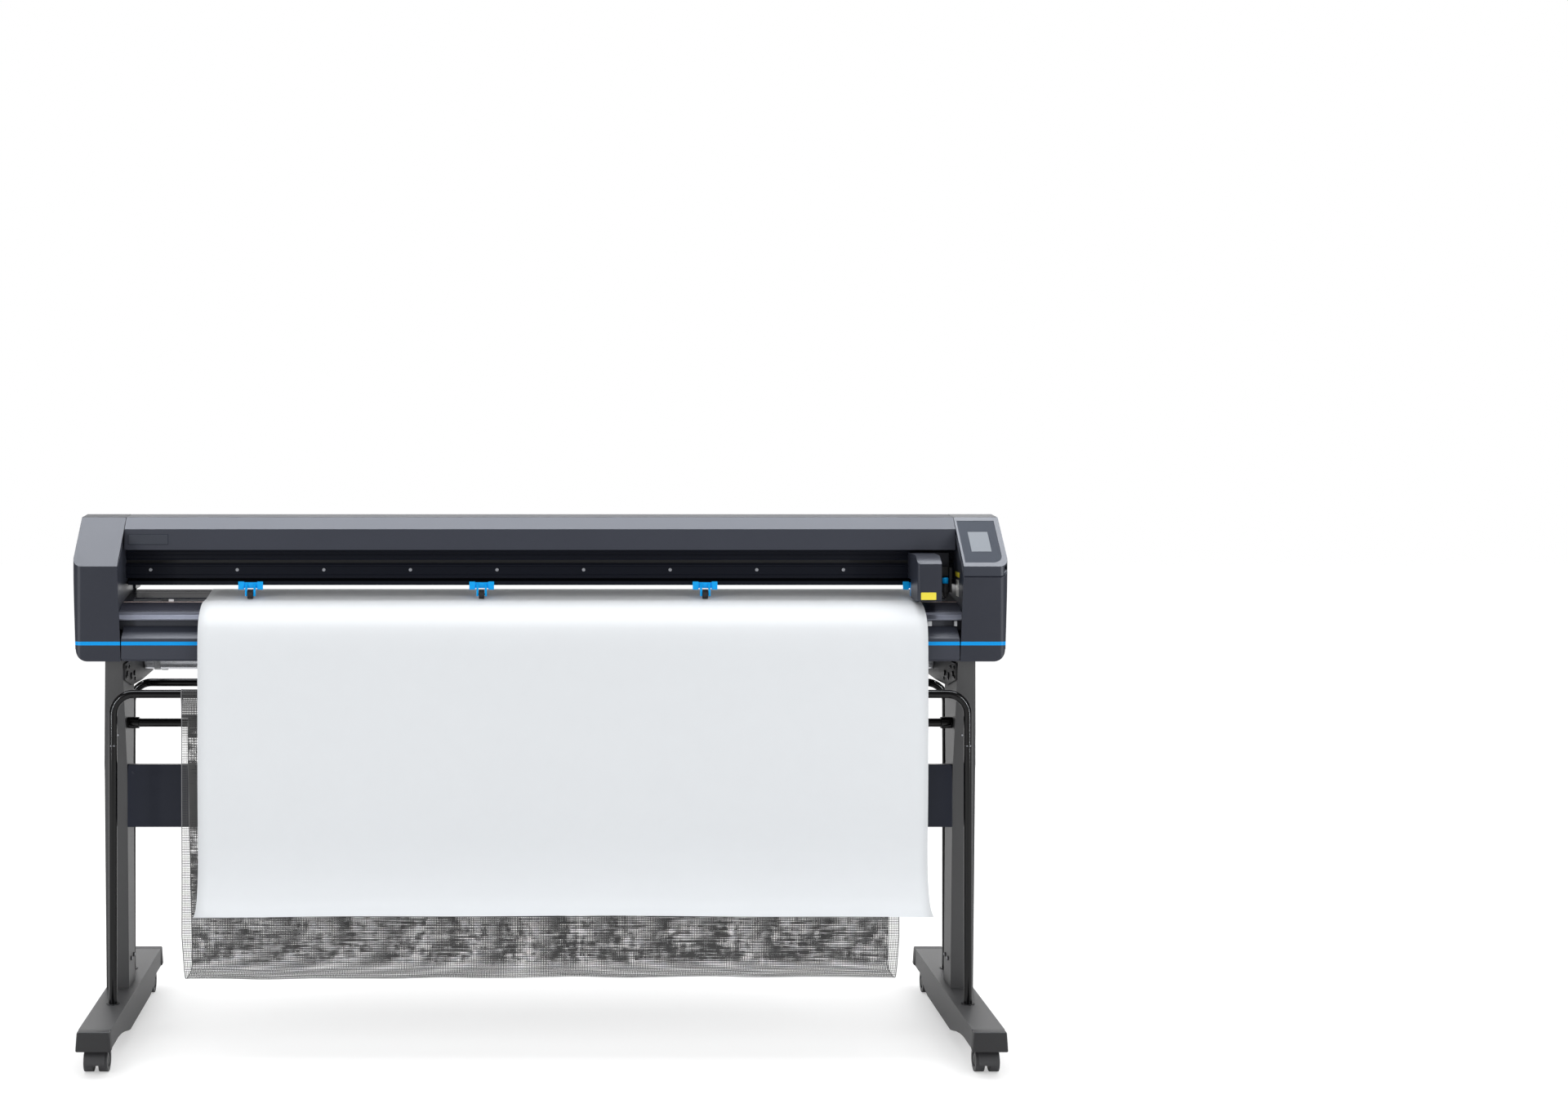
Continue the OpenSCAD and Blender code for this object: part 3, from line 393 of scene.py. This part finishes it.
def spline(points, steps):
    """A smooth path through the points, with steps points on each span."""
    made = []
    for i in range(len(points) - 1):
        a, b = points[max(i - 1, 0)], points[i]
        c, d = points[i + 1], points[min(i + 2, len(points) - 1)]
        for k in range(steps):
            s = k / steps
            made.append(0.5 * (2 * b + (c - a) * s + (2 * a - 5 * b + 4 * c - d) * s ** 2
                               + (3 * b - a - 3 * c + d) * s ** 3))
    return made + [points[-1]]


def lengths(path):
    """The distance along a path to each of its points."""
    made = [0.0]
    for a, b in zip(path, path[1:]):
        made.append(made[-1] + (b - a).length)
    return made


def cloth_grid(name, path, xs, mat, thickness, shift=None):
    """A sheet swept along X: path is in (Y, Z), xs are its columns, and shift moves a point off the path."""
    bm = bmesh.new()
    uv = bm.loops.layers.uv.new("metres")
    along = lengths(path)
    rows = []
    for i, p in enumerate(path):
        row = []
        for x in xs:
            dx, dy, dz = shift(x, p, along[i]) if shift else (0, 0, 0)
            row.append(bm.verts.new((x + dx, p.x + dy, p.y + dz)))
        rows.append(row)
    for i in range(len(path) - 1):
        for j in range(len(xs) - 1):
            face = bm.faces.new((rows[i][j], rows[i][j + 1], rows[i + 1][j + 1], rows[i + 1][j]))
            for loop, (jj, ii) in zip(face.loops, ((j, i), (j + 1, i), (j + 1, i + 1), (j, i + 1))):
                loop[uv].uv = (xs[jj], along[ii])
    made = new_object(name, bm, mat)
    if thickness:
        solid = made.modifiers.new("thickness", "SOLIDIFY")
        solid.thickness = thickness
        solid.offset = 0
    return made


def columns(x0, x1, count):
    """Evenly spaced positions from x0 to x1, with count gaps between them."""
    return [x0 + (x1 - x0) * i / count for i in range(count + 1)]


def rounded_slab(name, x0, x1, z0, z1, y0, y1, radius, mat, edge=0.0002):
    """A flat plate in the X-Z plane with rounded corners, from y0 at the front to y1."""
    bm = bmesh.new()
    ring = []
    corners = ((x1 - radius, z1 - radius, 0), (x0 + radius, z1 - radius, 90),
               (x0 + radius, z0 + radius, 180), (x1 - radius, z0 + radius, 270))
    for cx, cz, start in corners:
        for k in range(7):
            a = math.radians(start + 15 * k)
            ring.append(bm.verts.new((cx + radius * math.cos(a), y0, cz + radius * math.sin(a))))
    front = bm.faces.new(ring)
    made = bmesh.ops.extrude_face_region(bm, geom=[front])
    back = [v for v in made["geom"] if isinstance(v, bmesh.types.BMVert)]
    bmesh.ops.translate(bm, verts=back, vec=(0, y1 - y0, 0))
    bmesh.ops.recalc_face_normals(bm, faces=bm.faces)
    slab = new_object(name, bm, mat, smooth=False)
    soften(slab, edge, 1)
    return slab


def turned(name, profile, place, axis, mat, steps=32):
    """A solid of revolution: profile is (distance along the axis, radius), place its origin."""
    bm = bmesh.new()
    verts = [bm.verts.new((r, 0, h)) for h, r in profile]
    edges = [bm.edges.new(pair) for pair in zip(verts, verts[1:])]
    bmesh.ops.spin(bm, geom=verts + edges, cent=(0, 0, 0), axis=(0, 0, 1), angle=math.tau,
                   steps=steps, use_duplicate=False)
    bmesh.ops.remove_doubles(bm, verts=bm.verts, dist=0.00001)
    bmesh.ops.recalc_face_normals(bm, faces=bm.faces)
    made = new_object(name, bm, mat)
    made.data.transform(Vector(axis).to_track_quat("Z", "Y").to_matrix().to_4x4())
    made.data.transform(Matrix.Translation(place))
    return made


def attach(obj, body, stands_for=()):
    """Rides a piece on its body, and hides the CAD nodes it stands for, if any."""
    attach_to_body(obj, body)
    if stands_for:
        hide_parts(*stands_for)
    return obj


# ---------- soft goods ----------

VINYL_X = (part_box("vinyl_sheet")[0].x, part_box("vinyl_sheet")[1].x)
# The sheet's middle line in (Y, Z), in millimetres, from the platen's back edge to the curled end.
VINYL_ROUTE = [
    (118, 962), (109, 966.6), (96, 969.2), (62, 965.4), (28, 961.7), (5, 959.2), (-12, 957.7),
    (-36, 956.9), (-50, 956.6), (-64, 956.2), (-85, 952.6), (-100, 947.6), (-113, 941.4), (-128, 932),
    (-140, 918), (-146, 902), (-149, 880), (-150, 850), (-150, 780), (-150, 680), (-149, 600), (-146, 520),
    (-141.5, 450), (-140.5, 415), (-145, 370), (-160, 330), (-180, 311), (-205, 303), (-217, 303),
]


def roll_axis():
    """The roll's axis in (Y, Z) and its radius."""
    lo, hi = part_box("media_roll")
    return Vector(((lo.y + hi.y) / 2, (lo.z + hi.z) / 2)), (hi.y - lo.y) / 2


def make_vinyl(mats):
    """The loaded sheet: off the roll's top, over the platen, and down in front to its curled end."""
    centre, radius = roll_axis()
    nose = Vector(VINYL_ROUTE[0]) * MM
    reach = radius + 0.0005
    to_nose = nose - centre
    angle = math.atan2(to_nose.y, to_nose.x) - math.acos(reach / to_nose.length)
    start = centre + reach * Vector((math.cos(angle), math.sin(angle)))
    run = [start + (nose - start) * k / 3 for k in range(3)]
    path = spline(run + [Vector(p) * MM for p in VINYL_ROUTE], 5)
    curl_top = 0.45

    def wave(x, p, _along):
        hang = clamp((0.88 - p.y) / 0.3) if p.x < -0.1 else 0
        curl = clamp((curl_top - p.y) / 0.15) if p.x < -0.1 else 0
        dy = -0.0007 * hang * (1 + math.sin(x * 5.1 + 0.7) * math.cos(p.y * 4))
        dz = 0.0022 * curl * math.sin(x * 3.1 + 1.1) + 0.0008 * curl * math.sin(x * 11)
        return 0, dy - 0.002 * curl * math.sin(x * 2.3), dz

    made = cloth_grid("loaded_sheet", path, columns(*VINYL_X, 64), mats["vinyl_white"], 0.0003, wave)
    attach(made, "cutter", ["vinyl_sheet"])


# The middle rod's radius, and how far a sleeve stands off its tube, in metres.
ROD_RADIUS = 0.00925
SLEEVE_GAP = 0.0012
# The basket's fall in (Y, Z), in millimetres, between the two seams.
BASKET_ROUTE = [
    (-138, 717), (-138, 560), (-136, 400), (-137, 200), (-132, 160), (-118, 145.5), (-90, 145), (-62, 149),
    (-49, 165), (-46, 210), (-45, 400), (-44.5, 600), (-46, 659),
]


def sleeve_loop(centre, radius, seam, turn):
    """The points of a sleeve that leaves its seam, passes round a tube and ends near the seam."""
    side = math.atan2(seam.y - centre.y, seam.x - centre.x)
    angles = [side + turn * math.radians(a) for a in range(70, 291, 20)]
    return [centre + radius * Vector((math.cos(a), math.sin(a))) for a in angles]


def top_tube(node):
    """The axis in (Y, Z) and the radius of the top tube of a bent frame."""
    lo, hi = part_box(node)
    radius = (hi.y - lo.y) / 2
    return Vector(((lo.y + hi.y) / 2, hi.z - radius)), radius


def make_basket(mats):
    """The net sling: one sheet with a sleeve at each end, a bound edge at each side and stitched seams."""
    x0, x1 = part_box("mesh_basket")[0].x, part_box("mesh_basket")[1].x
    front, front_r = top_tube("front_basket_bow")
    lo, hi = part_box("basket_rod")
    rod = Vector(((lo.y + hi.y) / 2, (lo.z + hi.z) / 2))
    route = [Vector(p) * MM for p in BASKET_ROUTE]
    first, last = route[0], route[-1]
    loop_a = sleeve_loop(front, front_r + SLEEVE_GAP, first, -1)
    loop_b = sleeve_loop(rod, ROD_RADIUS + SLEEVE_GAP, last, -1)
    inner_a = first + Vector((0.0015, 0.0))
    inner_b = last + Vector((0.0015, 0.0))
    path = spline([inner_a] + loop_a[::-1] + route + loop_b + [inner_b], 4)

    def sag(x, p, along):
        free = clamp((0.70 - p.y) / 0.12) * clamp((along - 0.05) / 0.05)
        low = clamp((0.24 - p.y) / 0.08)
        dy = 0.0016 * free * math.sin(x * 17 + p.y * 6) + 0.0009 * free * math.sin(x * 41 - p.y * 15)
        dz = 0.0025 * low * math.sin(x * 2.6 + 0.5) + 0.0010 * low * math.sin(x * 23)
        back = clamp((along - NET_BACK_START + 0.08) / 0.08)
        inset = back * (0.010 - 0.010 * clamp((p.y - 0.15) / 0.45)) + 0.006 * low * (1 - back)
        return -inset * x / x1, dy, dz

    net = cloth_grid("basket_net", path, columns(x0, x1, 150), mats["mesh_fabric"], 0.0, sag)
    attach(net, "cutter", ["mesh_basket"])
    trims = []
    binding = material("net_binding", (44, 44, 45), 0.75, bump=(2200, 0.5), mottle=0.12, sheen=0.3)
    wide, past = 0.0016, 0.0004
    left = ("binding_left", x0 - past, x0 + wide)
    right = ("binding_right", x1 - wide, x1 + past)
    for name, a, b in (left, right):
        trims.append(cloth_grid("basket_" + name, path, columns(a, b, 2), mats["hem_grey"], 0.0005, sag))
    for name, at in (("front", first), ("back", last)):
        seam = [at + Vector((-0.0012, 0.003)), at + Vector((-0.0014, 0.0)), at + Vector((-0.0012, -0.003))]
        trims.append(cloth_grid("basket_seam_" + name, seam, columns(x0, x1, 150), binding, 0.0008))
    for trim in trims:
        attach(trim, "cutter")


# ---------- the CAD nodes' finish ----------

# The width of each node's soft edges, in millimetres.
EDGES_MM = {
    "left_end_cap": 3.2, "right_end_cap": 1.8, "panel_housing": 2.0, "control_panel": 0.4,
    "touch_screen": 0.3, "accent_trim": 0.2, "hood": 0.9, "rear_cover": 0.6, "front_cover": 0.9,
    "platen": 0.5, "platen_edge": 0.5, "cutting_strip": 0.3, "carriage_beam": 0.6, "beam_screws": 0.3,
    "side_plates": 0.3, "power_inlet": 0.4, "power_switch": 0.4, "left_leg": 2.0, "right_leg": 2.0,
    "left_foot": 3.0, "right_foot": 3.0, "foot_end_caps": 3.0, "cross_beam": 1.6, "basket_rod": 1.0,
    "roll_brackets": 0.8, "carriage_plate": 0.5, "carriage_cover": 2.2, "tool_holder": 0.5,
    "blade_holder": 0.4, "media_core": 0.3, "pinch_lift_bar": 0.4,
}


def finish_nodes(mats):
    """Every CAD node gets its slot's material and its own soft edges."""
    for part in frame["record"]["subparts"]:
        name = part["node"]
        width = EDGES_MM.get(name, 0.4 if "caster" in name or "pinch" in name else 0)
        finish_cad(name, mats[part["material_slot"]], width * MM)


# ---------- small details ----------

# Turns of a plate that was made to face the front.
BEHIND = Matrix.Rotation(math.pi, 4, "Z")
FACING_LEFT = Matrix.Rotation(-math.pi / 2, 4, "Z")


def plate(name, width, height, centre, mat, body, turn=None, radius=0.0015, thick=0.0006):
    """A thin plate that faces the front, or is turned to face elsewhere, with its back against centre."""
    made = rounded_slab(name, -width / 2, width / 2, -height / 2, height / 2, -thick, 0.0002, radius, mat)
    if turn:
        made.data.transform(turn)
    made.data.transform(Matrix.Translation(centre))
    return attach(made, body)


def dome(name, place, axis, radius, height, mat, body):
    """A low button head on a face."""
    crown = [(height * 0.5, radius * 0.94), (height * 0.85, radius * 0.7), (height, 0.0)]
    profile = [(0, 0), (0, radius)] + crown
    return attach(turned(name, profile, place, axis, mat, 20), body)


def ring(name, place, axis, inner, outer, height, mat, body, steps=32):
    """A flat ring that stands height off its place, with a small round on its outer edge."""
    edge = min(0.0004, height / 3)
    rim = [(height - edge, outer), (height, outer - edge)]
    profile = [(0, inner), (0, outer)] + rim + [(height, inner), (0, inner)]
    return attach(turned(name, profile, place, axis, mat, steps), body)


def make_star_washer(name, place, mat, inner=0.0093, outer=0.0145):
    """The toothed grommet where a tube enters a foot."""
    bm = bmesh.new()
    rings = []
    count = 48
    for height in (0.0, 0.0012):
        loops = ([], [])
        for k in range(count):
            turn = math.tau * k / count
            tooth = outer if k % 6 < 3 else outer * 0.84
            for loop, r in zip(loops, (inner, tooth)):
                loop.append(bm.verts.new((place[0] + r * math.cos(turn), place[1] + r * math.sin(turn),
                                          place[2] + height)))
        rings.append(loops)
    (low_in, low_out), (high_in, high_out) = rings
    for a, b in ((low_out, high_out), (high_out, high_in), (high_in, low_in), (low_in, low_out)):
        for k in range(count):
            n = (k + 1) % count
            bm.faces.new((a[k], a[n], b[n], b[k]))
    bmesh.ops.recalc_face_normals(bm, faces=bm.faces)
    attach(new_object(name, bm, mat, smooth=False), "cutter")


def make_carriage_details(mats):
    """The carriage's plain label, and the blade holder's blue cap and knurled ring."""
    lo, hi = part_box("carriage_cover")
    x = hi.x - 0.0285
    plate("carriage_label", 0.033, 0.016, (x, lo.y, lo.z + 0.0115), mats["label_yellow"], "carriage")
    low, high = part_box("blade_holder")
    centre = ((low.x + high.x) / 2, (low.y + high.y) / 2, high.z - 0.0125)
    cap = [(0, 0.0061), (0, 0.0066), (0.011, 0.0066), (0.0128, 0.0055), (0.0132, 0.0), (0.0130, 0.0)]
    attach(turned("blade_cap", cap, centre, (0, 0, 1), mats["pinch_blue"], 24), "blade_holder")
    ring("blade_knurl", (centre[0], centre[1], high.z - 0.0185), (0, 0, 1), 0.0061, 0.0069, 0.004,
         mats["moulded_black"], "blade_holder", 18)


def make_body_details(mats):
    """Name plate, inner-wall labels, media sensor, clips, and the screws and vents of the rear side."""
    lo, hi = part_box("hood")
    place = (lo.x + 0.0525, lo.y, 1.092)
    plate("name_plate_border", 0.088, 0.0225, place, mats["panel_dark"], "cutter", thick=0.0002)
    plate("name_plate", 0.0865, 0.021, place, mats["plate_grey"], "cutter", thick=0.0005)
    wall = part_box("side_plates")[1].x - 0.0041
    small = (wall, -0.046, 1.015)
    large = (wall, -0.046, 0.985)
    plate("wall_label_small", 0.042, 0.011, small, mats["label_yellow"], "cutter", FACING_LEFT)
    plate("wall_label_large", 0.028, 0.036, large, mats["label_white"], "cutter", FACING_LEFT)
    eye = ("sensor_eye", -0.8283, 0.0155, "moulded_black")
    mark = ("sensor_mark", -0.8145, 0.011, "bush_white")
    for name, x, width, mat in (eye, mark):
        plate(name, width, 0.0055, (x, -0.0290, 0.9563), mats[mat], "cutter", radius=0.0008, thick=0.0040)
    for name, x, width in (("front_clip_1", 0.8475, 0.009), ("front_clip_2", 0.904, 0.006)):
        centre = (x, -0.1010, 0.9135)
        plate(name, width, 0.011, centre, mats["bush_white"], "cutter", radius=0.001, thick=0.0055)
    for k in range(7):
        x = -0.84 + 0.28 * k
        for word, y, z in (("hood", hi.y, 1.020), ("cover", 0.10525, 0.880)):
            dome(f"{word}_screw_{k}", (x, y, z), (0, 1, 0), 0.0035, 0.0016, mats["screw_steel"], "cutter")
    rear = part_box("left_end_cap")[1].y
    for k in range(7):
        centre = (-0.965, rear, 0.905 + 0.009 * k)
        plate(f"vent_{k}", 0.052, 0.0032, centre, mats["beam_black"], "cutter", BEHIND, 0.0014, 0.0003)
    plate("rating_label", 0.050, 0.030, (0.962, rear, 0.985), mats["label_white"], "cutter", BEHIND)
    for side in (-1, 1):
        for z in (0.86, 1.07):
            name = f"cap_screw_{side + 1}_{round(z * 100)}"
            centre = (side * 0.935, rear, z)
            dome(name, centre, (0, 1, 0), 0.0035, 0.0014, mats["moulded_black"], "cutter")


# Heights of the legs' lower bolts and of the basket tubes' joints, and the place of the right leg's screw.
LEG_BOLT_Z = 0.156
TUBE_JOINT_Z = 0.653
LEG_SCREW = (0.927, -0.0606, 0.6634)
# Where the support rollers' white collars start, from the middle.
COLLAR_X = 0.868
# Bolts of the roll brackets, as (Y, Z).
ARM_BOLTS = [(-0.083, 0.815), (-0.083, 0.795), (-0.045, 0.812), (-0.020, 0.784), (0.030, 0.776)]


def make_stand_details(mats):
    """Bolt heads, tube joints, grommets, roller collars and the casters' hub caps."""
    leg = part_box("right_leg")[0].x
    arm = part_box("roll_brackets")[1].x - 0.005
    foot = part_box("right_foot")[1].z
    for side, word in ((-1, "left"), (1, "right")):
        for k, y in enumerate((0.008, 0.040)):
            centre = (side * leg, y, LEG_BOLT_Z)
            name = f"leg_bolt_{word}_{k}"
            dome(name, centre, (-side, 0, 0), 0.0034, 0.0014, mats["screw_steel"], "cutter")
        centre = (side * LEG_SCREW[0], LEG_SCREW[1], LEG_SCREW[2])
        slope = (0, -1, -0.24)
        dome(f"leg_screw_{word}", centre, slope, 0.0022, 0.0012, mats["screw_steel"], "cutter")
        for k, (y, z) in enumerate(ARM_BOLTS):
            centre = (side * arm, y, z)
            dome(f"arm_bolt_{word}_{k}", centre, (-side, 0, 0), 0.0042, 0.0026, mats["tube_black"], "cutter")
        for bow in ("front_basket_bow", "rear_basket_bow"):
            lo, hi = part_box(bow)
            x, y = side * (hi.x - 0.009), (lo.y + hi.y) / 2
            make_star_washer(f"{bow}_grommet_{word}", (x, y, foot), mats["moulded_black"])
            centre = (x, y, TUBE_JOINT_Z)
            name = f"{bow}_joint_{word}"
            ring(name, centre, (0, 0, 1), 0.009, 0.0094, 0.0012, mats["frame_paint"], "cutter")
            face = -1 if bow.startswith("front") else 1
            for dx in (-0.0035, 0.0035):
                centre = (x + dx, y + face * 0.0086, TUBE_JOINT_Z + 0.0006)
                name = f"{bow}_pin_{word}_{round(dx * 10000) + 35}"
                outwards = (dx * 100, face * 0.9, 0)
                dome(name, centre, outwards, 0.0013, 0.0009, mats["screw_steel"], "cutter")
        for roller in ("front_support_roller", "rear_support_roller"):
            lo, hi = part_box(roller)
            centre = (side * COLLAR_X, (lo.y + hi.y) / 2, (lo.z + hi.z) / 2)
            name = f"{roller}_collar_{word}"
            ring(name, centre, (side, 0, 0), 0.0199, 0.0226, 0.014, mats["bush_white"], roller)
    for end in ("front_left", "front_right", "rear_left", "rear_right"):
        lo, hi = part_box("caster_wheels_" + end)
        for side, x in ((-1, lo.x), (1, hi.x)):
            place = (x - side * 0.003, (lo.y + hi.y) / 2, (lo.z + hi.z) / 2)
            body = "caster_wheels_" + end
            dome(f"hub_{end}_{side + 1}", place, (side, 0, 0), 0.0125, 0.0029, mats["caster_black"], body)


def make_roll_ends(mats):
    """The wound ends of the supply roll, with their fine rings."""
    lo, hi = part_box("media_roll")
    radius = (hi.z - lo.z) / 2
    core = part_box("media_core")
    inner = (core[1].z - core[0].z) / 2 + 0.0002
    for side, x in ((-1, lo.x), (1, hi.x)):
        profile = [(0, inner), (0.0004, inner), (0.0004, radius - 0.0005), (0, radius - 0.0001)]
        made = turned(f"roll_end_{side + 1}", profile, (0, 0, 0), (side, 0, 0), mats["roll_end"], 64)
        made.location = (x, (lo.y + hi.y) / 2, (lo.z + hi.z) / 2)
        attach(made, "media_roll")


make_camera()
materials = make_materials()
make_studio()
finish_nodes(materials)
make_vinyl(materials)
make_basket(materials)
make_carriage_details(materials)
make_body_details(materials)
make_stand_details(materials)
make_roll_ends(materials)
